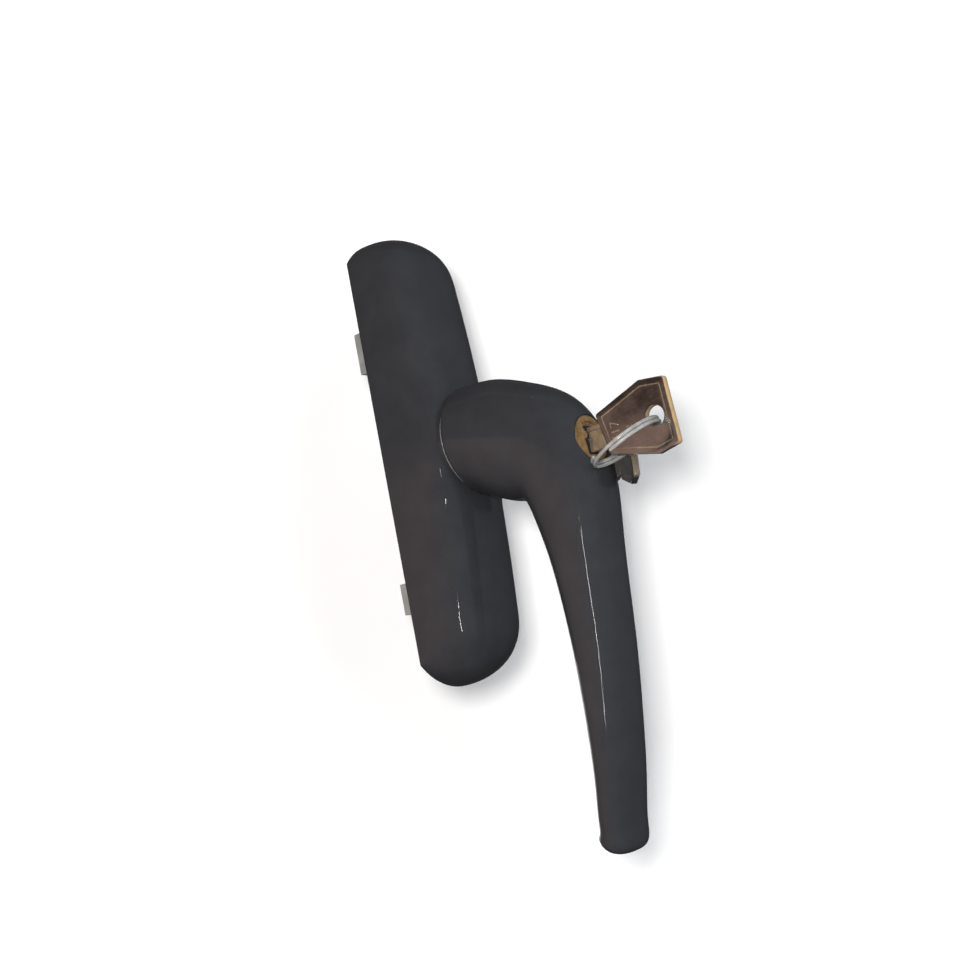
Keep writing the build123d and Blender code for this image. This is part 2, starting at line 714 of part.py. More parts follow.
# Cam sleeve: turned by the plug's tail; its helical slot drives the cross pin in and out
with BuildPart() as cam_sleeve:
    with BuildSketch(lock_facing(sleeve_back)):
        Circle(sleeve_radius)
    extrude(amount=sleeve_length)
    with BuildSketch(lock_facing(sleeve_front)):
        Rectangle(tail_square + 2*fit_gap, tail_square + 2*fit_gap)
    extrude(amount=-(tail_length + fit_gap), mode=Mode.SUBTRACT)
    with BuildSketch(lock_facing(sleeve_back)):
        Circle(locking_pin_radius + cam_gap)
    extrude(amount=locking_top - sleeve_back + sliding_gap, mode=Mode.SUBTRACT)
    for step in range(cam_steps + 1):
        turned = handle_turn*step/cam_steps
        forward = cross_pin_forward - locking_travel*step/cam_steps
        with Locations(Plane(origin=(0, -forward, -lock_drop), x_dir=(0, 1, 0),
                             z_dir=(cos(turned), 0, -sin(turned)))):
            Cylinder(cross_pin_radius + cam_gap, 2*sleeve_radius + 1, mode=Mode.SUBTRACT)
cam_sleeve.part.label = "cam_sleeve"

with BuildPart() as locking_pin:
    with BuildSketch(lock_facing(locking_tip)):
        Circle(locking_pin_radius)
        with Locations((locking_pin_flat, 0)):
            Rectangle(locking_pin_radius, 2*locking_pin_radius + 1, align=(Align.MIN, Align.CENTER),
                      mode=Mode.SUBTRACT)
    extrude(amount=locking_pin_length)
    with Locations(Plane(origin=(0, -cross_pin_forward, -lock_drop), z_dir=(1, 0, 0))):
        Cylinder(cross_pin_radius + fit_gap, 2*sleeve_radius, mode=Mode.SUBTRACT)
    chamfer(locking_pin.faces().sort_by(Axis.Y)[-1].edges(), 0.4)
locking_pin.part.label = "locking_pin"

with BuildPart() as cross_pin:
    with Locations(Plane(origin=(0, -cross_pin_forward, -lock_drop), z_dir=(1, 0, 0))):
        Cylinder(cross_pin_radius, cross_pin_length)
cross_pin.part.label = "cross_pin"


# A key lying in the sketch plane: forward to the right, the blade's middle on the x axis
def key_blank(plane):
    blade_tip = bow_start - blade_length
    with BuildPart() as blank:
        with BuildSketch(plane.offset(-key_thickness/2)) as bow:
            with BuildLine():
                Polyline(*bow_corners, close=True)
            make_face()
            fillet(bow.vertices(), bow_corner)
            with Locations(bow_hole):
                Circle(bow_hole_radius, mode=Mode.SUBTRACT)
            with Locations((bow_start - blade_length/2 + bow_corner, 0)):
                Rectangle(blade_length + 2*bow_corner, blade_height)
        extrude(amount=key_thickness)
        tip_cut = [(blade_tip, 0.35*blade_height), (blade_tip, blade_height), (blade_tip + 2, blade_height)]
        with BuildSketch(plane.offset(-key_thickness)):
            for side in (-1, 1):
                with BuildLine():
                    Polyline(*[(along, side*up) for along, up in tip_cut], close=True)
                make_face()
            for place, depth in zip(wafer_places, cut_depths):
                edge = -blade_height/2
                wide = cut_half_width + depth + 1
                with BuildLine():
                    Polyline((place - cut_half_width, edge + depth), (place + cut_half_width, edge + depth),
                             (place + wide, edge - 1), (place - wide, edge - 1), close=True)
                make_face()
        extrude(amount=2*key_thickness, mode=Mode.SUBTRACT)
        for side in (-1, 1):
            with BuildSketch(plane.offset(side*key_thickness/2)):
                with Locations((blade_tip - 1, side*blade_height/5)):
                    Rectangle(blade_length + 1, blade_height/4, align=(Align.MIN, Align.CENTER))
            extrude(amount=-side*blade_groove, mode=Mode.SUBTRACT)
    return blank.part


key_plane = Plane(origin=(0, 0, -lock_drop), x_dir=(0, -1, 0), z_dir=(-1, 0, 0))
key = key_blank(key_plane)
key.label = "key"

# Key ring: nearly two turns of wire through the bow's hole, crossing the key's plane again
hole_point = Vector(0, -bow_hole[0], -lock_drop)
touch_point = Vector(0, -ring_touch[0], ring_touch[1])
chord = touch_point - hole_point
chord_direction = chord.normalized()
chord_square = Vector(0, chord_direction.Z, -chord_direction.Y)
lean = radians(ring_lean)
outward = Vector(-cos(lean), 0, 0) + chord_square*sin(lean)
ring_rise = sqrt(ring_radius**2 - chord.length**2/4)
ring_centre = hole_point + chord*0.5 + outward*ring_rise
ring_plane = Plane(origin=ring_centre, x_dir=outward, z_dir=chord_direction.cross(outward))
coil_height = ring_pitch*ring_turns
with BuildPart() as coil:
    with BuildLine(Plane.XY.offset(-coil_height/2)):
        wire = Helix(ring_pitch, coil_height, ring_radius)
    with BuildSketch(Plane(origin=wire @ 0, z_dir=wire % 0)):
        Circle(ring_wire_radius)
    sweep(is_frenet=True)
key_ring = coil.part.moved(ring_plane.location)
key_ring.label = "key_ring"

# Second key, hanging on the ring behind the first
spare_direction = Vector(*spare_axis).normalized()
spare_upward = spare_direction.cross(Vector(*spare_face)).normalized()
spare_plane = Plane(origin=Vector(*spare_hole) + spare_direction*bow_hole[0] - spare_upward*bow_hole[1],
                    x_dir=-spare_direction, z_dir=spare_upward.cross(spare_direction))
second_key = key_blank(spare_plane)
second_key.label = "second_key"

os.makedirs("parts", exist_ok=True)
pieces = [base_cover.part, back_plate.part, cover_screws, front_plate.part, plate_screws, socket_screws,
          index_socket.part, neck_washer.part, pinion.part, upper_rack, lower_rack, spindle.part,
          spindle_clip, lever.part, detent_balls.part, detent_springs.part, lock_housing.part,
          lock_retainer.part, lock_plug.part, plug_clip, wafers.part, wafer_springs.part,
          cam_sleeve.part, locking_pin.part, cross_pin.part, key, key_ring, second_key]
for piece in pieces:
    export_step(piece, f"parts/{piece.label}.step")
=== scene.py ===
import json
from math import cos, pi, radians, sin, sqrt

import bmesh
import bpy
import numpy as np
from mathutils import Matrix, Vector


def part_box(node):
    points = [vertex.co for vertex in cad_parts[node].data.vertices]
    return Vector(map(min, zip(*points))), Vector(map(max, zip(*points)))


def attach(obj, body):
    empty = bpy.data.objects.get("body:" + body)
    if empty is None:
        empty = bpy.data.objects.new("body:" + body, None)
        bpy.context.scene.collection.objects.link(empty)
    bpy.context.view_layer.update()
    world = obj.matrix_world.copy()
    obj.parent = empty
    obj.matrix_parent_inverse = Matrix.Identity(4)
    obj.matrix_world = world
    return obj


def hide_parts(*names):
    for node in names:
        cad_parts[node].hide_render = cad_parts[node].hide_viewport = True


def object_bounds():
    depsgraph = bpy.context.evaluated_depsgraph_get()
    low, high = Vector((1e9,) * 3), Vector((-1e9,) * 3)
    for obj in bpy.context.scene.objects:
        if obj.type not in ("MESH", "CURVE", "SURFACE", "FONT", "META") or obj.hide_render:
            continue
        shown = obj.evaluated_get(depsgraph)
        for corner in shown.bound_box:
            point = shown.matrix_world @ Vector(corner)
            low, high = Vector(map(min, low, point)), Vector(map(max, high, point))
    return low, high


# A locking window handle: the looks for the frame's solids, in metres, x right, y into the window, z up.
# Each piece's dictionary gives its lengths in mm, and the studio's dictionaries give them in metres.
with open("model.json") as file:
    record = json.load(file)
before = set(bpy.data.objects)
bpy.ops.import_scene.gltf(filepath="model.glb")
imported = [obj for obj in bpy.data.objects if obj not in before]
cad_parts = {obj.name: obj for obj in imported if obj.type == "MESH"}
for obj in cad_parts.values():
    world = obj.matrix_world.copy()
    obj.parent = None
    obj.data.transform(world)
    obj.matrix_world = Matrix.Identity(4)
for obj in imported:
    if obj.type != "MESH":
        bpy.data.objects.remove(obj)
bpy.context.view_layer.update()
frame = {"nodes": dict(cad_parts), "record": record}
nodes = frame["nodes"]
mm = 0.001
print("stage: frame loaded,", len(nodes), "nodes")


def linear(hexText):
    # sRGB hex to linear, as the shaders take it
    parts = [int(hexText[i:i + 2], 16)/255 for i in (0, 2, 4)]
    return tuple(c/12.92 if c <= 0.04045 else ((c + 0.055)/1.055)**2.4 for c in parts) + (1.0,)


def grey(value):
    # a linear grey
    return (value, value, value, 1.0)


def setInputs(tree, node, inputs):
    # an input is a value, or (node, output) for a link
    for key, value in inputs.items():
        if isinstance(value, tuple) and len(value) == 2 and isinstance(value[0], bpy.types.Node):
            tree.links.new(value[0].outputs[value[1]], node.inputs[key])
        else:
            node.inputs[key].default_value = value


def addNode(tree, kind, inputs=None, stops=(), **settings):
    # one node with its settings and links; stops are the two places and hex colours of a colour ramp
    made = tree.nodes.new(kind)
    for key, value in settings.items():
        setattr(made, key, value)
    for index, (place, tone) in enumerate(stops):
        stop = made.color_ramp.elements[index]
        stop.position, stop.color = place, linear(tone)
    setInputs(tree, made, inputs or {})
    return made


def blankMaterial(name):
    # a material with no nodes
    made = bpy.data.materials.new(name)
    made.use_nodes = True
    made.node_tree.nodes.clear()
    return made, made.node_tree


def newMaterial(name):
    # a material whose patterns go by Object coordinates, which are metres in the shared frame
    made, tree = blankMaterial(name)
    place = addNode(tree, "ShaderNodeTexCoord")
    shader = addNode(tree, "ShaderNodeBsdfPrincipled")
    addNode(tree, "ShaderNodeOutputMaterial", {"Surface": (shader, "BSDF")})
    return made, tree, place, shader


def powderCoatMaterial():
    # anthracite polyester powder coat, baked on a zinc casting: smooth and half glossy, with a faint
    # orange peel, a thin clear skin that gives narrow highlights, and slight handling marks; each
    # pattern has its cell in mm, its detail and its harshness
    look = {"tones": ((0.35, "303135"), (0.7, "353639")), "marksFrom": 0.3, "marksTo": 0.75,
            "smooth": 0.45, "rough": 0.57, "peel": (1.6, 2.0, 0.5), "peelStrength": 0.25,
            "peelDepth": 0.02, "marks": (9.0, 5.0, 0.62), "specks": (0.35, 1.0, 0.5),
            "speckStrength": 0.1, "speckDepth": 0.004, "ior": 1.5, "specular": 0.2,
            "skin": 0.8, "skinRoughness": 0.06}
    made, tree, place, shader = newMaterial("anthracitePowderCoat")
    peel, marks, specks = [
        addNode(tree, "ShaderNodeTexNoise", {"Vector": (place, "Object"), "Scale": 1/(cell*mm),
                                             "Detail": detail, "Roughness": harshness})
        for cell, detail, harshness in (look["peel"], look["marks"], look["specks"])]
    colour = addNode(tree, "ShaderNodeValToRGB", {"Fac": (marks, "Fac")}, look["tones"])
    rough = addNode(tree, "ShaderNodeMapRange", {"Value": (marks, "Fac"), "From Min": look["marksFrom"],
                                                 "From Max": look["marksTo"], "To Min": look["smooth"],
                                                 "To Max": look["rough"]})
    fine = addNode(tree, "ShaderNodeBump", {"Height": (specks, "Fac"), "Strength": look["speckStrength"],
                                            "Distance": look["speckDepth"]*mm})
    bump = addNode(tree, "ShaderNodeBump", {"Height": (peel, "Fac"), "Strength": look["peelStrength"],
                                            "Distance": look["peelDepth"]*mm, "Normal": (fine, "Normal")})
    setInputs(tree, shader, {"Base Color": (colour, "Color"), "Roughness": (rough, "Result"),
                             "Normal": (bump, "Normal"), "IOR": look["ior"],
                             "Specular IOR Level": look["specular"], "Coat Weight": look["skin"],
                             "Coat Roughness": look["skinRoughness"]})
    return made


def metalMaterial(name, look):
    # a bare or plated metal: two tones over a blotch, roughness that follows it, and a surface
    # pattern that is grain (cast), stretch (brushed or turned) or both; cells and depth are in mm.
    # A metal share under 1 keeps some of the metal's own grey where a mirror would only show the room
    blotchForm = {"detail": 4.0, "harshness": 0.6, "darkAt": 0.32, "lightAt": 0.68}
    grainForm = {"detail": 3.0, "smoothAt": 0.12, "roughAt": 0.42}
    made, tree, place, shader = newMaterial(name)
    blotch = addNode(tree, "ShaderNodeTexNoise", {"Vector": (place, "Object"),
                                                  "Scale": 1/(look["blotchCell"]*mm),
                                                  "Detail": blotchForm["detail"],
                                                  "Roughness": blotchForm["harshness"]})
    stretched = addNode(tree, "ShaderNodeMapping", {"Vector": (place, "Object"), "Scale": look["stretch"]})
    grain = addNode(tree, "ShaderNodeTexNoise", {"Vector": (stretched, "Vector"),
                                                 "Scale": 1/(look["grainCell"]*mm),
                                                 "Detail": grainForm["detail"]})
    colour = addNode(tree, "ShaderNodeValToRGB", {"Fac": (blotch, "Fac")},
                     ((blotchForm["darkAt"], look["dark"]), (blotchForm["lightAt"], look["light"])))
    mixed = addNode(tree, "ShaderNodeMath", {0: (blotch, "Fac"), 1: (grain, "Fac")}, operation="MULTIPLY")
    rough = addNode(tree, "ShaderNodeMapRange", {"Value": (mixed, "Value"),
                                                 "From Min": grainForm["smoothAt"],
                                                 "From Max": grainForm["roughAt"],
                                                 "To Min": look["smooth"], "To Max": look["rough"]})
    bump = addNode(tree, "ShaderNodeBump", {"Height": (grain, "Fac"), "Strength": look["relief"],
                                            "Distance": look["depth"]*mm})
    setInputs(tree, shader, {"Base Color": (colour, "Color"), "Roughness": (rough, "Result"),
                             "Normal": (bump, "Normal"), "Metallic": look.get("metal", 1.0)})
    return made, tree, shader, colour, blotch


def zincCastingMaterial():
    # bare die-cast zinc: dull grey with a light skin pattern from the die
    return metalMaterial("dieCastZinc", {"dark": "a6aaa9", "light": "c2c6c2", "blotchCell": 5.0,
                                         "grainCell": 0.5, "stretch": (1, 1, 1), "smooth": 0.38,
                                         "rough": 0.58, "relief": 0.35, "depth": 0.03,
                                         "metal": 0.45})[0]


def platedSheetMaterial():
    # zinc-plated sheet steel: brighter, with the rolling direction showing
    return metalMaterial("zincPlatedSheet", {"dark": "a9abad", "light": "c6c8c8", "blotchCell": 7.0,
                                             "grainCell": 0.6, "stretch": (1, 1, 0.08), "smooth": 0.26,
                                             "rough": 0.44, "relief": 0.2, "depth": 0.02})[0]


def screwMaterial():
    # zinc-plated and passivated screws: bluish white with a faint yellow cast
    return metalMaterial("passivatedScrewSteel", {"dark": "b3b5b0", "light": "cfd1cc", "blotchCell": 1.6,
                                                  "grainCell": 0.25, "stretch": (1, 1, 1), "smooth": 0.22,
                                                  "rough": 0.4, "relief": 0.2, "depth": 0.01})[0]


def gearSteelMaterial():
    # machined steel under a film of oil: darker, with fine tool marks along the depth
    return metalMaterial("oiledMachinedSteel", {"dark": "7f8285", "light": "a3a6a8", "blotchCell": 3.0,
                                                "grainCell": 0.3, "stretch": (1, 0.1, 1), "smooth": 0.2,
                                                "rough": 0.38, "relief": 0.25, "depth": 0.012})[0]


def turnedBrassMaterial():
    # brass, faced on a lathe and a little tarnished by fingers
    return metalMaterial("turnedBrass", {"dark": "98784c", "light": "cba775", "blotchCell": 2.6,
                                         "grainCell": 0.22, "stretch": (1, 0.15, 1), "smooth": 0.22,
                                         "rough": 0.42, "relief": 0.3, "depth": 0.012,
                                         "metal": 0.55})[0]


def springWireMaterial():
    # drawn steel wire, nickelled: a bright silver line with a soft sheen along the wire
    return metalMaterial("nickelledSpringWire", {"dark": "b9b9b6", "light": "dededb", "blotchCell": 3.0,
                                                 "grainCell": 0.3, "stretch": (1, 1, 1), "smooth": 0.16,
                                                 "rough": 0.3, "relief": 0.15, "depth": 0.008,
                                                 "metal": 0.5})[0]


def nickelMaterial():
    # bright nickel on brass: nearly a mirror, hair scratches, and brass showing where the wear
    # attribute and a blotch meet, as on a key's edges; brass that has lost its plate is duller
    look = {"dark": "a5a29e", "light": "c6c4c0", "blotchCell": 6.0, "grainCell": 0.35,
            "stretch": (1, 0.12, 0.5), "smooth": 0.1, "rough": 0.22, "relief": 0.2, "depth": 0.006,
            "worn": "e8c78e", "wornMetal": 0.4, "patchFrom": 0.3, "patchTo": 0.7, "leastWorn": 0.75,
            "mostWorn": 1.3}
    made, tree, shader, colour, blotch = metalMaterial("wornNickelPlate", look)
    wear = addNode(tree, "ShaderNodeAttribute", attribute_name="wear")
    spread = addNode(tree, "ShaderNodeMapRange", {"Value": (blotch, "Fac"), "From Min": look["patchFrom"],
                                                  "From Max": look["patchTo"], "To Min": look["leastWorn"],
                                                  "To Max": look["mostWorn"]})
    share = addNode(tree, "ShaderNodeMath", {0: (wear, "Fac"), 1: (spread, "Result")},
                    operation="MULTIPLY", use_clamp=True)
    worn = addNode(tree, "ShaderNodeMix", {0: (share, "Value"), 6: (colour, "Color"),
                                           7: linear(look["worn"])}, data_type="RGBA")
    metal = addNode(tree, "ShaderNodeMath", {0: (share, "Value"), 1: look["wornMetal"] - 1, 2: 1.0},
                    operation="MULTIPLY_ADD")
    setInputs(tree, shader, {"Base Color": (worn, 2), "Metallic": (metal, "Value")})
    return made


def nylonMaterial():
    # black moulded nylon, slightly waxy
    look = {"tones": ((0.3, "1d1e20"), (0.7, "2a2b2d")), "grainCell": 0.4, "detail": 3.0, "relief": 0.2,
            "depth": 0.01, "roughness": 0.48}
    made, tree, place, shader = newMaterial("blackNylon")
    grain = addNode(tree, "ShaderNodeTexNoise", {"Vector": (place, "Object"),
                                                 "Scale": 1/(look["grainCell"]*mm),
                                                 "Detail": look["detail"]})
    colour = addNode(tree, "ShaderNodeValToRGB", {"Fac": (grain, "Fac")}, look["tones"])
    bump = addNode(tree, "ShaderNodeBump", {"Height": (grain, "Fac"), "Strength": look["relief"],
                                            "Distance": look["depth"]*mm})
    setInputs(tree, shader, {"Base Color": (colour, "Color"), "Normal": (bump, "Normal"),
                             "Roughness": look["roughness"]})
    return made


# the record's slots, and the spring wire, which is this script's own
finishes = {"paint": powderCoatMaterial(), "zinc": zincCastingMaterial(),
            "plate_steel": platedSheetMaterial(), "screw_steel": screwMaterial(),
            "gear_steel": gearSteelMaterial(), "nylon": nylonMaterial(),
            "brass": turnedBrassMaterial(), "nickel": nickelMaterial(), "wire": springWireMaterial()}
for row in frame["record"]["subparts"]:
    for slot in nodes[row["node"]].material_slots:
        slot.material = finishes[row["material_slot"]]
print("stage: materials on the solids")

hardEdge = radians(32)  # edges that turn by more than this stay sharp


def meshPiece(name, points, faces, finish, body, replaced=None, wear=None):
    # one piece from points in mm and faces, smooth except at hard edges; wear is 0 to 1 for each point
    mesh = bpy.data.meshes.new(name)
    mesh.from_pydata((points*mm).tolist(), [], faces)
    mesh.update()
    if wear is not None:
        mesh.attributes.new("wear", "FLOAT", "POINT").data.foreach_set("value", wear.astype(np.float32))
    made = bpy.data.objects.new(name, mesh)
    bpy.context.scene.collection.objects.link(made)
    mesh.materials.append(finishes[finish])
    outwards = bmesh.new()
    outwards.from_mesh(mesh)
    bmesh.ops.recalc_face_normals(outwards, faces=outwards.faces)
    outwards.to_mesh(mesh)
    outwards.free()
    mesh.shade_smooth()
    mesh.set_sharp_from_angle(angle=hardEdge)
    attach(made, body)
    if replaced:
        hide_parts(replaced)


def gridFaces(rows, columns, closedRows=False, closedColumns=True, start=0):
    # quads between neighbouring points of a grid that is numbered row by row from start; a closed
    # way joins its last line of points to its first
    row, column = np.meshgrid(np.arange(rows if closedRows else rows - 1),
                              np.arange(columns if closedColumns else columns - 1), indexing="ij")
    nextRow, nextColumn = (row + 1) % rows, (column + 1) % columns
    corners = [row*columns + column, row*columns + nextColumn,
               nextRow*columns + nextColumn, nextRow*columns + column]
    return (np.stack(corners, -1).reshape(-1, 4) + start).tolist()


def endCaps(rows, columns, start=0):
    # one face over the first and one over the last row of such a grid
    first = list(range(start, start + columns))
    return [first[::-1], [index + (rows - 1)*columns for index in first]]


def tubeAlong(path, radius, sides, start=0, taper=0.6):
    # a round wire: circles square to the path, each turned on from the one before without twist;
    # the circle at each end is smaller by taper and closed by one face
    along = np.gradient(path, axis=0)
    along /= np.linalg.norm(along, axis=1, keepdims=True)
    offPath = np.roll(along[0], 1)*[1, 1, -1] + [0.1, 0.3, 0.2]  # any way that isn't the path's own
    square = np.cross(along[0], offPath)
    side = [square/np.linalg.norm(square)]
    for direction in along[1:]:
        carried = side[-1] - direction*(side[-1] @ direction)
        side.append(carried/np.linalg.norm(carried))
    side = np.array(side)
    other = np.cross(along, side)
    turn = np.linspace(0, 2*pi, sides, endpoint=False)[None, :, None]
    size = np.full((len(path), 1, 1), radius)
    size[[0, -1]] *= taper
    points = path[:, None] + (side[:, None]*np.cos(turn) + other[:, None]*np.sin(turn))*size
    faces = gridFaces(len(path), sides, start=start) + endCaps(len(path), sides, start)
    return points.reshape(-1, 3), faces


def helixPath(radius, length, turns, perTurn, squeeze=0.0):
    # a helix about z, its middle at the origin: angle and height grow evenly together, less a sine of
    # the way along, times squeeze, that lays the end turns flat
    angle = np.linspace(0, 2*pi*turns, int(perTurn*turns) + 1)
    share = angle/angle[-1]
    height = (share - squeeze*np.sin(2*pi*share)/(2*pi) - 0.5)*length
    return np.stack([radius*np.cos(angle), radius*np.sin(angle), height], -1)


# a stamped brass key blank with a bevelled rim, a fine border line and a milled blade, in the key's
# own plane: the first number along it, the second across it. A row of the profile is what it is
# measured from, how far, how far below the face, and how worn; a figure is text, size and place
keyForm = {"thickness": 2.2, "bowStart": 79.5, "corner": 1.0, "leastCorner": 0.3,
           "corners": ((79.5, -6.7), (97.5, -10.9), (105.5, -9.3), (104.5, 12.1), (95.2, 13.3),
                       (76.9, 7.2)),
           "hole": (98.7, 0.8), "holeRadius": 3.3, "holeBevel": 0.25, "holeWear": 0.6, "line": 2.0,
           "profile": (("hole", 0.25, 0.0, 0.0), ("hole", 0.6, 0.02, 0.0), ("line", 0.42, 0.02, 0.0),
                       ("line", 0.25, 0.02, 0.3), ("line", 0.15, 0.13, 0.4), ("line", 0.0, 0.13, 0.4),
                       ("line", -0.06, 0.0, 0.4), ("line", -0.12, 0.0, 0.0), ("edge", 0.6, 0.0, 0.0),
                       ("edge", 0.38, 0.02, 0.6), ("edge", 0.12, 0.16, 1.0), ("edge", 0.0, 0.4, 1.0)),
           "rim": 0.5, "wornFrom": 102.5, "wornOver": 2.0, "leastWear": 0.15,
           "bladeHeight": 8.2, "bladeLength": 26.5, "bladeRoot": 1.2, "bladeThinner": 0.03,
           "bladeBevel": 0.25, "bladeWear": 0.35, "tipLength": 2.0, "tipShare": 0.35,
           "groove": 0.55, "grooveLow": 0.075, "grooveHigh": 0.325, "grooveLip": 0.15, "grooveFoot": 0.1,
           "cuts": (1.0, 1.6, 0.7, 1.4, 0.9), "firstCut": 57.0, "cutPitch": 2.9, "cutHalf": 0.5,
           "leastStep": 1e-4,
           "figures": (("417", 4.6, 83.6), ("2", 3.4, 89.0)), "figureRise": 0.05, "figureSink": 0.02,
           "figureSteps": 3, "figureWear": 0.4}


def insetOutline(corners, inset, radius, arcPoints=6, sidePoints=8):
    # a convex outline moved in by inset: each corner is an arc, then the straight side to the next
    # arc is cut into equal parts, so that every outline has the same number of points
    corners = np.asarray(corners, float)
    before = corners - np.roll(corners, 1, axis=0)
    before /= np.linalg.norm(before, axis=1, keepdims=True)
    after = np.roll(before, -1, axis=0)
    inwardBefore = np.stack([-before[:, 1], before[:, 0]], -1)
    inwardAfter = np.stack([-after[:, 1], after[:, 0]], -1)
    between = inwardBefore + inwardAfter
    between /= np.linalg.norm(between, axis=1, keepdims=True)
    stretch = 1/(between*inwardBefore).sum(1, keepdims=True)
    centres = corners + between*stretch*(inset + radius)
    fromAngle = np.arctan2(-inwardBefore[:, 1], -inwardBefore[:, 0])
    sweep = (np.arctan2(-inwardAfter[:, 1], -inwardAfter[:, 0]) - fromAngle + pi) % (2*pi) - pi
    angle = fromAngle[:, None] + sweep[:, None]*np.linspace(0, 1, arcPoints)[None]
    arcs = centres[:, None] + np.stack([np.cos(angle), np.sin(angle)], -1)*radius
    share = np.linspace(0, 1, sidePoints + 2)[1:-1][None, :, None]
    sides = arcs[:, -1:]*(1 - share) + np.roll(arcs[:, :1], -1, axis=0)*share
    return np.concatenate([arcs, sides], axis=1).reshape(-1, 2)


def bladeSection(form):
    # the blade's outline: a bevelled bar a little thinner than the bow, with a groove in each side;
    # one half is the other turned half round
    side, top, bevel = form["thickness"]/2 - form["bladeThinner"], form["bladeHeight"]/2, form["bladeBevel"]
    low, high = form["bladeHeight"]*form["grooveLow"], form["bladeHeight"]*form["grooveHigh"]
    depth, lip, foot = form["groove"], form["grooveLip"], form["grooveFoot"]
    half = np.array([(-side + bevel, -top), (side - bevel, -top), (side, -top + bevel), (side, low - lip),
                     (side - depth, low + foot), (side - depth, high - foot), (side, high + lip),
                     (side, top - bevel)])
    return np.concatenate([half, -half])


def keyMesh(form):
    # the bow is nested outlines from the hole out over one face, round the rim and back over the
    # other; the blade is sections along it, whose lower edge follows the cuts
    half, top = form["thickness"]/2, form["bladeHeight"]/2
    centre = np.array(form["hole"])
    outward = insetOutline(form["corners"], 0, form["corner"]) - centre
    outward /= np.linalg.norm(outward, axis=1, keepdims=True)
    loops = [(kind, amount, half - drop, wear) for kind, amount, drop, wear in form["profile"]]
    loops += [(kind, amount, -height, wear) for kind, amount, height, wear in reversed(loops)]
    loops += [("hole", 0.0, height, form["holeWear"])
              for height in (form["holeBevel"] - half, half - form["holeBevel"])]
    rows, wears = [], []
    for kind, amount, height, wear in loops:
        if kind == "hole":
            flat = centre + outward*(form["holeRadius"] + amount)
        else:
            inset = amount + form["line"] if kind == "line" else amount
            flat = insetOutline(form["corners"], inset, max(form["corner"] - inset, form["leastCorner"]))
        share = np.ones(len(flat))
        if kind == "edge" and amount < form["rim"]:  # the rim is worn most at the end that is held
            share = np.clip((flat[:, 0] - form["wornFrom"])/form["wornOver"], form["leastWear"], 1)
        rows.append(np.column_stack([flat, np.full(len(flat), height)]))
        wears.append(wear*share)
    tip = form["bowStart"] - form["bladeLength"]
    stations = [(tip, 0, form["tipShare"]*form["bladeHeight"]), (tip + form["tipLength"], 0, top),
                (form["bowStart"] + form["bladeRoot"], 0, top)]
    for number, depth in enumerate(form["cuts"]):
        place = form["firstCut"] + form["cutPitch"]*number
        stations += [(place - form["cutHalf"] - depth, 0, top), (place - form["cutHalf"], depth, top),
                     (place + form["cutHalf"], depth, top), (place + form["cutHalf"] + depth, 0, top)]
    along, cut, reach = np.array(sorted(stations)).T
    along = np.maximum.accumulate(along + np.arange(len(along))*form["leastStep"])
    section = bladeSection(form)
    across = np.clip(section[:, 1], -np.minimum(top - cut, reach)[:, None], reach[:, None])
    blade = np.stack([np.broadcast_to(along[:, None], across.shape), across,
                      np.broadcast_to(section[:, 0], across.shape)], -1).reshape(-1, 3)
    bow = np.concatenate(rows)
    faces = gridFaces(len(rows), len(outward), closedRows=True)
    faces += gridFaces(len(along), len(section), start=len(bow))
    faces += endCaps(len(along), len(section), start=len(bow))
    wears.append(np.full(len(blade), form["bladeWear"]))
    return np.concatenate([bow, blade]), faces, np.concatenate(wears)


def raisedNumber(text, size, place, side, form):
    # plain figures pressed up from one face of the bow, across the key: points and faces in its plane
    curve = bpy.data.curves.new("figures", "FONT")
    curve.body, curve.size = text, size
    curve.extrude, curve.resolution_u = form["figureRise"], form["figureSteps"]
    curve.align_x = curve.align_y = "CENTER"
    shown = bpy.data.objects.new("figures", curve)
    bpy.context.scene.collection.objects.link(shown)
    bpy.context.view_layer.update()
    mesh = bpy.data.meshes.new_from_object(shown.evaluated_get(bpy.context.evaluated_depsgraph_get()))
    points = np.array([vertex.co for vertex in mesh.vertices], float)
    faces = [list(polygon.vertices) for polygon in mesh.polygons]
    bpy.data.objects.remove(shown)
    bpy.data.curves.remove(curve)
    bpy.data.meshes.remove(mesh)
    height = side*(form["thickness"]/2 - form["figureSink"]) + points[:, 2]
    return np.column_stack([place - side*points[:, 1], points[:, 0], height]), faces


def addKey(name, origin, forward, normal, node, worn=1.0):
    # one key by its origin, the way that its length points and the way that a face looks; its body
    # has the same name as the CAD node that it stands for
    points, faces, wear = keyMesh(keyForm)
    for side in (1, -1):
        for text, size, place in keyForm["figures"]:
            figures, more = raisedNumber(text, size, place, side, keyForm)
            faces += [[index + len(points) for index in face] for face in more]
            points = np.concatenate([points, figures])
            wear = np.concatenate([wear, np.full(len(figures), keyForm["figureWear"])])
    length = np.array(forward, float)/np.linalg.norm(forward)
    thick = np.array(normal, float) - length*(np.array(normal, float) @ length)
    thick /= np.linalg.norm(thick)
    axes = np.stack([length, np.cross(thick, length), thick])
    meshPiece(name, points @ axes + np.array(origin), faces, "nickel", node, node, wear*worn)


lockDrop = 12.0  # from the spindle's axis down to the lock's
addKey("keyInLock", (0, 0, -lockDrop), (0, -1, 0), (-1, 0, 0), "key")

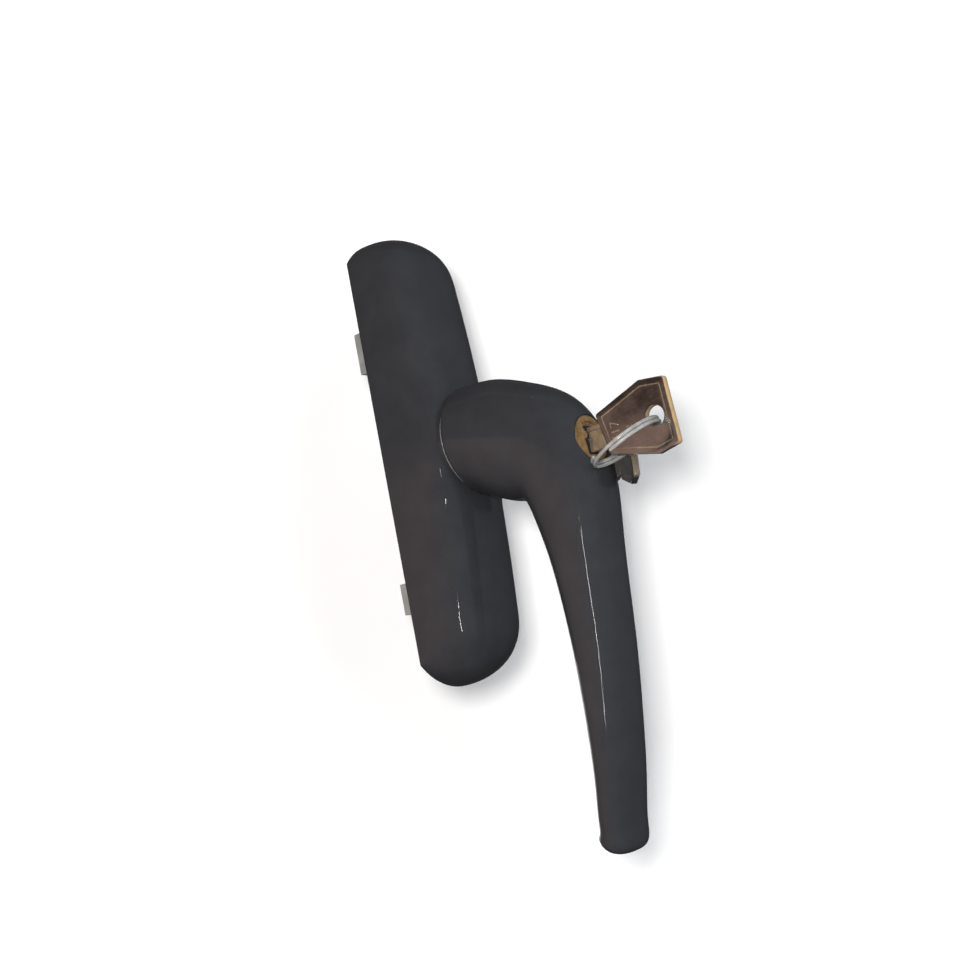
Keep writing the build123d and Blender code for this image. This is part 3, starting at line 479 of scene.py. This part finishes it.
# the second key by the middle of its hole, the way from bow to tip and the way that its face looks
spareForm = {"hole": (7.22, -82.18, -16.67), "axis": (0.732, 0.681, 0.007),
             "face": (-0.679, 0.730, 0.083), "worn": 0.35}
holeForward, holeRise = keyForm["hole"]
spareAxis = np.array(spareForm["axis"])/np.linalg.norm(spareForm["axis"])
spareUp = np.cross(spareAxis, spareForm["face"])
spareUp /= np.linalg.norm(spareUp)
spareOrigin = np.array(spareForm["hole"]) + spareAxis*holeForward - spareUp*holeRise
addKey("spareKey", spareOrigin, -spareAxis, np.cross(spareUp, spareAxis), "second_key", spareForm["worn"])
print("stage: keys")

# split ring: nearly two turns of drawn wire through the bow's hole, leaning out to the left and
# crossing the key's plane again at touch, which is forward and up
ringForm = {"touch": (78.0, -20.5), "lean": 10.0, "radius": 12.0, "wire": 0.6, "pitch": 1.3, "turns": 1.9,
            "perTurn": 96, "sides": 20, "taper": 0.75}
holePoint = np.array([0, -holeForward, -lockDrop])
touchPoint = np.array([0, -ringForm["touch"][0], ringForm["touch"][1]])
chord = touchPoint - holePoint
chordWay = chord/np.linalg.norm(chord)
chordSquare = np.array([0, chordWay[2], -chordWay[1]])
lean = radians(ringForm["lean"])
ringOut = np.array([-cos(lean), 0, 0]) + chordSquare*sin(lean)
ringMiddle = holePoint + chord*0.5 + ringOut*sqrt(ringForm["radius"]**2 - chord @ chord/4)
ringFlat = np.cross(chordWay, ringOut)
ringAxes = np.stack([ringOut, np.cross(ringFlat, ringOut), ringFlat])
ringPath = helixPath(ringForm["radius"], ringForm["pitch"]*ringForm["turns"], ringForm["turns"],
                     ringForm["perTurn"])
ringPoints, ringFaces = tubeAlong(ringPath @ ringAxes + ringMiddle, ringForm["wire"], ringForm["sides"],
                                  taper=ringForm["taper"])
meshPiece("splitRing", ringPoints, ringFaces, "wire", "ring", "key_ring")


def addBead(name, middle, radius, bead, finish, body, around=240, sides=10):
    # a bead about the y axis: a small circle carried round a large one
    swing, turn = np.meshgrid(np.linspace(0, 2*pi, around, endpoint=False),
                              np.linspace(0, 2*pi, sides, endpoint=False), indexing="ij")
    reach = radius + bead*np.cos(turn)
    points = np.stack([reach*np.cos(swing), bead*np.sin(turn), reach*np.sin(swing)], -1) + middle
    meshPiece(name, points.reshape(-1, 3), gridFaces(around, sides, closedRows=True), finish, body)


# the collar's rim under the neck: a painted highlight, a thin bead of bright bare zinc that stands for
# the fine light line which the rim's edge catches
rimHighlightForm = {"radius": 17.02, "forward": 25.74, "bead": 0.1}
addBead("collarRimHighlight", (0, -rimHighlightForm["forward"], 0), rimHighlightForm["radius"], rimHighlightForm["bead"], "zinc", "base")

# painted shade round the plug: a dark bead that stands for the shadow line in the gap round the barrel,
# and a thin black sheet that stands for the shade inside the keyway: the blade's outline grown outwards
# by a share across and a share up, with a wave on its outer edge like the warded slot behind it
plugShadeForm = {"bead": 0.16, "shadeOut": 0.06, "shadeIn": 0.02, "hole": (1.12, 1.03), "edge": (2.6, 1.14),
            "wave": 0.5, "waveStep": 1.7}
housingLow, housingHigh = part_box("lock_housing")
# painted shadow: a dark bead in the gap round the barrel
addBead("barrelGapShade", (0, housingLow[1]/mm, -lockDrop), (housingHigh[0] - housingLow[0])/2/mm,
        plugShadeForm["bead"], "nylon", "lever")
outline = bladeSection(keyForm)
inner, outer = outline*plugShadeForm["hole"], outline*plugShadeForm["edge"]
outer[:, 0] += plugShadeForm["wave"]*np.sin(outer[:, 1]*plugShadeForm["waveStep"])
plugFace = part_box("lock_plug")[0][1]/mm
shadeLoops = [np.column_stack([-flat[:, 0], np.full(len(flat), plugFace + shift), flat[:, 1] - lockDrop])
           for flat, shift in ((inner, plugShadeForm["shadeIn"]), (outer, plugShadeForm["shadeIn"]),
                               (outer, -plugShadeForm["shadeOut"]), (inner, -plugShadeForm["shadeOut"]))]
# painted shade: a thin black sheet round the blade that stands for the shade inside the keyway
meshPiece("keywayShade", np.concatenate(shadeLoops),
          gridFaces(len(shadeLoops), len(outline), closedRows=True), "nylon", "plug")

# springs as real coils with closed end turns: two push the detent balls, and one lifts each wafer
coilForm = {"perTurn": 28, "sides": 10, "squeeze": 0.55}
detentForm = {"circle": 8.4, "foot": 27.9, "length": 6.9, "radius": 0.95, "wire": 0.4, "turns": 7.5}
waferForm = {"first": 57.0, "pitch": 2.9, "count": 5, "length": 3.0, "radius": 0.33, "wire": 0.16,
             "turns": 6.5}


def addCoils(name, places, axis, form, body, replaced):
    # the same spring at each place, which is its middle
    coil = helixPath(form["radius"], form["length"] - form["wire"], form["turns"], coilForm["perTurn"],
                     coilForm["squeeze"])
    turned = np.array(Vector((0, 0, 1)).rotation_difference(Vector(axis)).to_matrix()).T
    points, faces = [], []
    for middle in places:
        tube, quads = tubeAlong(coil @ turned + np.array(middle), form["wire"]/2, coilForm["sides"],
                                start=sum(len(part) for part in points))
        points.append(tube)
        faces += quads
    meshPiece(name, np.concatenate(points), faces, "gear_steel", body, replaced)


addCoils("detentCoils", [(x, -detentForm["foot"] - detentForm["length"]/2, 0)
                         for x in (detentForm["circle"], -detentForm["circle"])],
         (0, 1, 0), detentForm, "lever", "detent_springs")
waferLow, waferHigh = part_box("wafer_springs")
waferX, waferZ = [(waferLow[way] + waferHigh[way])/2/mm for way in (0, 2)]
addCoils("waferCoils", [(waferX, -(waferForm["first"] + waferForm["pitch"]*number), waferZ)
                        for number in range(waferForm["count"])],
         (0, 0, 1), waferForm, "plug", "wafer_springs")
print("stage: ring and springs")

# studio: pale floor, white surroundings, soft lamps and the narrow flash beside the camera
low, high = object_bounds()
middle = (low + high)/2
scene = bpy.context.scene
scene.view_settings.view_transform = "Standard"


def backgroundRays(tree):
    # 1 for rays that see a background: the camera's own, and those off metal and through glass
    ray = addNode(tree, "ShaderNodeLightPath")
    plain = addNode(tree, "ShaderNodeMath", {0: (ray, "Is Camera Ray"), 1: (ray, "Is Glossy Ray")},
                    operation="MAXIMUM")
    return addNode(tree, "ShaderNodeMath", {0: (plain, "Value"), 1: (ray, "Is Transmission Ray")},
                   operation="MAXIMUM")


def stagePiece(name, points, faces, material):
    # a part of the studio; its glow is seen, but isn't used as a lamp
    mesh = bpy.data.meshes.new(name)
    mesh.from_pydata(points, [], faces)
    mesh.materials.append(material)
    material.cycles.emission_sampling = "NONE"
    made = bpy.data.objects.new(name, mesh)
    scene.collection.objects.link(made)
    return made


def glowSheet(name, corners, centre, form):
    # a white sheet that takes a shadow, and the same with a glow added that rises with the distance
    # from centre, so that it is plain white further out
    material, tree = blankMaterial(name)
    sheet = addNode(tree, "ShaderNodeBsdfDiffuse", {"Color": grey(form["tone"])})
    place = addNode(tree, "ShaderNodeTexCoord")
    away = addNode(tree, "ShaderNodeVectorMath", {0: (place, "Object"), 1: centre}, operation="DISTANCE")
    rising = addNode(tree, "ShaderNodeMapRange", {"Value": (away, "Value"), "From Min": form["near"],
                                                  "From Max": form["far"], "To Min": form["lift"],
                                                  "To Max": form["farLift"]})
    glow = addNode(tree, "ShaderNodeEmission", {"Color": grey(1.0), "Strength": (rising, "Result")})
    both = addNode(tree, "ShaderNodeAddShader", {0: (sheet, "BSDF"), 1: (glow, "Emission")})
    return stagePiece(name, corners, [(0, 1, 2, 3)], material), tree, sheet, both


floorForm = {"half": 3.0, "drop": 0.035, "tone": 0.86, "near": 0.15, "far": 0.7, "lift": 0.58,
             "farLift": 1.0}
level = low[2] - floorForm["drop"]
floor, tree, sheet, both = glowSheet("paleFloor", [
    (x*floorForm["half"], y*floorForm["half"], level) for x, y in ((-1, -1), (1, -1), (1, 1), (-1, 1))],
    (0, 0, level), floorForm)
floor.visible_glossy = floor.visible_diffuse = False
seen = backgroundRays(tree)
shown = addNode(tree, "ShaderNodeMixShader", {0: (seen, "Value"), 1: (sheet, "BSDF"), 2: (both, "Shader")})
addNode(tree, "ShaderNodeOutputMaterial", {"Surface": (shown, "Shader")})

# surroundings: white where they are seen, and a weak bluish fill elsewhere, a little stronger from below
worldForm = {"tint": (0.95, 0.97, 1.0, 1.0), "belowAt": -0.5, "aboveAt": 0.6, "fillBelow": 0.44,
             "fillAbove": 0.34, "white": 1.0}
world = bpy.data.worlds.new("studioWorld")
scene.world = world
world.use_nodes = True
tree = world.node_tree
tree.nodes.clear()
seen = backgroundRays(tree)
sky = addNode(tree, "ShaderNodeTexCoord")
height = addNode(tree, "ShaderNodeSeparateXYZ", {"Vector": (sky, "Generated")})
share = addNode(tree, "ShaderNodeMapRange", {"Value": (height, "Z"), "From Min": worldForm["belowAt"],
                                             "From Max": worldForm["aboveAt"],
                                             "To Min": worldForm["fillBelow"],
                                             "To Max": worldForm["fillAbove"]})
fill = addNode(tree, "ShaderNodeBackground", {"Color": worldForm["tint"], "Strength": (share, "Result")})
white = addNode(tree, "ShaderNodeBackground", {"Color": grey(1.0), "Strength": worldForm["white"]})
chosen = addNode(tree, "ShaderNodeMixShader", {0: (seen, "Value"), 1: (fill, "Background"),
                                               2: (white, "Background")})
addNode(tree, "ShaderNodeOutputWorld", {"Surface": (chosen, "Shader")})

# camera: worked out from the photograph's own perspective; focal is in pixels, sensor in mm
cameraForm = {"place": (-0.36611, -0.32544, -0.08588), "right": (0.64095, -0.74394, -0.18902),
              "up": (0.00996, -0.23817, 0.97117), "back": (-0.76752, -0.62436, -0.14525),
              "focal": 1410.3, "pixels": 976, "sensor": 36.0, "clip": (0.01, 50.0)}
cameraData = bpy.data.cameras.new("camera")
camera = bpy.data.objects.new("camera", cameraData)
scene.collection.objects.link(camera)
turned = Matrix((cameraForm["right"], cameraForm["up"], cameraForm["back"])).transposed().to_4x4()
camera.matrix_world = Matrix.Translation(cameraForm["place"]) @ turned
cameraData.sensor_width = cameraForm["sensor"]
cameraData.lens = cameraForm["focal"]/cameraForm["pixels"]*cameraForm["sensor"]
cameraData.clip_start, cameraData.clip_end = cameraForm["clip"]
scene.camera = camera

# lamps: azimuth 0 is in front of the window and 90 to its right, as seen from the room. The flash is a
# narrow upright tube beside the camera, the one lamp that the coat mirrors, as thin bright lines
lamps = {"topSoftbox": {"azimuth": -35, "elevation": 65, "distance": 1.1, "size": (0.9, 0.9),
                        "power": 1.4, "colour": (1.0, 0.98, 0.96)},
         "frontSoftbox": {"azimuth": -14, "elevation": 0, "distance": 1.2, "size": (0.7, 0.7),
                          "power": 2.9, "colour": (0.86, 0.95, 1.0)},
         "leftSoftbox": {"azimuth": -115, "elevation": 20, "distance": 1.2, "size": (0.8, 0.8),
                         "power": 0.8, "colour": (1.0, 0.66, 0.52)},
         "backSoftbox": {"azimuth": 140, "elevation": 18, "distance": 1.2, "size": (0.8, 0.8),
                         "power": 2.6, "colour": (1.0, 0.97, 0.94)},
         "umbrella": {"azimuth": -56, "elevation": -2, "distance": 0.52, "size": (0.06, 0.06),
                      "power": 2.05, "colour": (1.0, 0.96, 0.93)},
         "flash": {"azimuth": -55, "elevation": -12, "distance": 0.5, "size": (0.007, 0.135),
                   "power": 0.18, "colour": (1.0, 1.0, 1.0)}}
for name, form in lamps.items():
    data = bpy.data.lights.new(name, "AREA")
    data.shape, data.energy, data.color = "RECTANGLE", form["power"], form["colour"]
    data.size, data.size_y = form["size"]
    lamp = bpy.data.objects.new(name, data)
    scene.collection.objects.link(lamp)
    azimuth, elevation = radians(form["azimuth"]), radians(form["elevation"])
    away = Vector((sin(azimuth)*cos(elevation), -cos(azimuth)*cos(elevation), sin(elevation)))
    lamp.location = Vector(middle) + away*form["distance"]
    lamp.rotation_mode = "QUATERNION"
    lamp.rotation_quaternion = (-away).to_track_quat("-Z", "Y")
    lamp.visible_glossy = name == "flash"
    lamp.visible_camera = name != "flash"

# tent: a screen round the object that only reflections see, with an opening behind to the right
# through which metal shows the white background; its tone goes with the azimuth, brown wood to the
# left and a bluish window side in front, the wood is darker above its lit edge, and all dims downwards
tentForm = {"radius": 1.6, "rings": 120, "sides": 180, "poles": 89, "start": 90,
            "opening": (142, 172, -24, 4),
            "azimuths": (90, 168, 220, 243, 270, 300, 330, 360, 375, 405, 450),
            "tones": ("4a4a4c", "4a4643", "a08a80", "b3958a", "8f7468", "56504e", "52555a", "6a707a",
                      "6e747e", "74797f", "4a4a4c"),
            "wood": (190, 205, 285, 300), "edge": (8.4, 11.0), "above": 0.16,
            "rises": (-50, -12, -4, 90), "dims": (0.5, 0.8, 1.0, 0.8)}
azimuth = np.linspace(tentForm["start"], tentForm["start"] + 360, tentForm["sides"])
elevation = np.linspace(-tentForm["poles"], tentForm["poles"], tentForm["rings"])
turn, tilt = np.meshgrid(np.radians(azimuth), np.radians(elevation))
globe = tentForm["radius"]*np.stack([np.cos(tilt)*np.sin(turn), -np.cos(tilt)*np.cos(turn),
                                     np.sin(tilt)], -1)
stops = np.array([linear(tone)[:3] for tone in tentForm["tones"]])
tones = np.stack([np.interp(azimuth, tentForm["azimuths"], part) for part in stops.T], -1)[None]
wood = np.interp(azimuth, tentForm["wood"], (0, 1, 1, 0))[None, :, None]
woodTone = np.interp(elevation, tentForm["edge"], (1.0, tentForm["above"]))[:, None, None]
dim = np.interp(elevation, tentForm["rises"], tentForm["dims"])[:, None, None]
tones = tones*(1 - wood + wood*woodTone)*dim
left, right, bottom, top = tentForm["opening"]
panels = [face for face in gridFaces(tentForm["rings"], tentForm["sides"], closedColumns=False)
          if not (left < azimuth[face[0] % tentForm["sides"]] < right
                  and bottom < elevation[face[0]//tentForm["sides"]] < top)]
tentLook, tree = blankMaterial("tent")
tone = addNode(tree, "ShaderNodeAttribute", attribute_name="tone")
glow = addNode(tree, "ShaderNodeEmission", {"Color": (tone, "Color"), "Strength": 1.0})
addNode(tree, "ShaderNodeOutputMaterial", {"Surface": (glow, "Emission")})
tent = stagePiece("tent", globe.reshape(-1, 3).tolist(), panels, tentLook)
painted = np.concatenate([tones.reshape(-1, 3), np.ones((tones.size//3, 1))], 1).astype(np.float32)
tent.data.attributes.new("tone", "FLOAT_COLOR", "POINT").data.foreach_set("color", painted.ravel())
tent.visible_camera = tent.visible_diffuse = tent.visible_shadow = False

# back paper: a white sheet square to the photograph's view, just behind the object, that only the
# camera sees, that takes the object's shadow, and that is clear from behind
paperForm = {"gap": 0.012, "half": 1.2, "tone": 1.0, "near": 0.1, "far": 0.24, "lift": 0.02,
             "farLift": 0.6}
back = Vector(cameraForm["back"])
boxCorners = [Vector((x, y, z)) for x in (low[0], high[0]) for y in (low[1], high[1])
              for z in (low[2], high[2])]
depth = min(corner.dot(back) for corner in boxCorners) - paperForm["gap"]
centre = middle + back*(depth - middle.dot(back))
across, upward = Vector(cameraForm["right"])*paperForm["half"], Vector(cameraForm["up"])*paperForm["half"]
paper, tree, sheet, both = glowSheet("backPaper", [
    centre - across - upward, centre + across - upward, centre + across + upward,
    centre - across + upward], centre, paperForm)
paper.visible_diffuse = paper.visible_glossy = paper.visible_transmission = paper.visible_shadow = False
side = addNode(tree, "ShaderNodeNewGeometry")
clear = addNode(tree, "ShaderNodeBsdfTransparent")
shown = addNode(tree, "ShaderNodeMixShader", {0: (side, "Backfacing"), 1: (both, "Shader"),
                                              2: (clear, "BSDF")})
addNode(tree, "ShaderNodeOutputMaterial", {"Surface": (shown, "Shader")})
print("stage: studio")
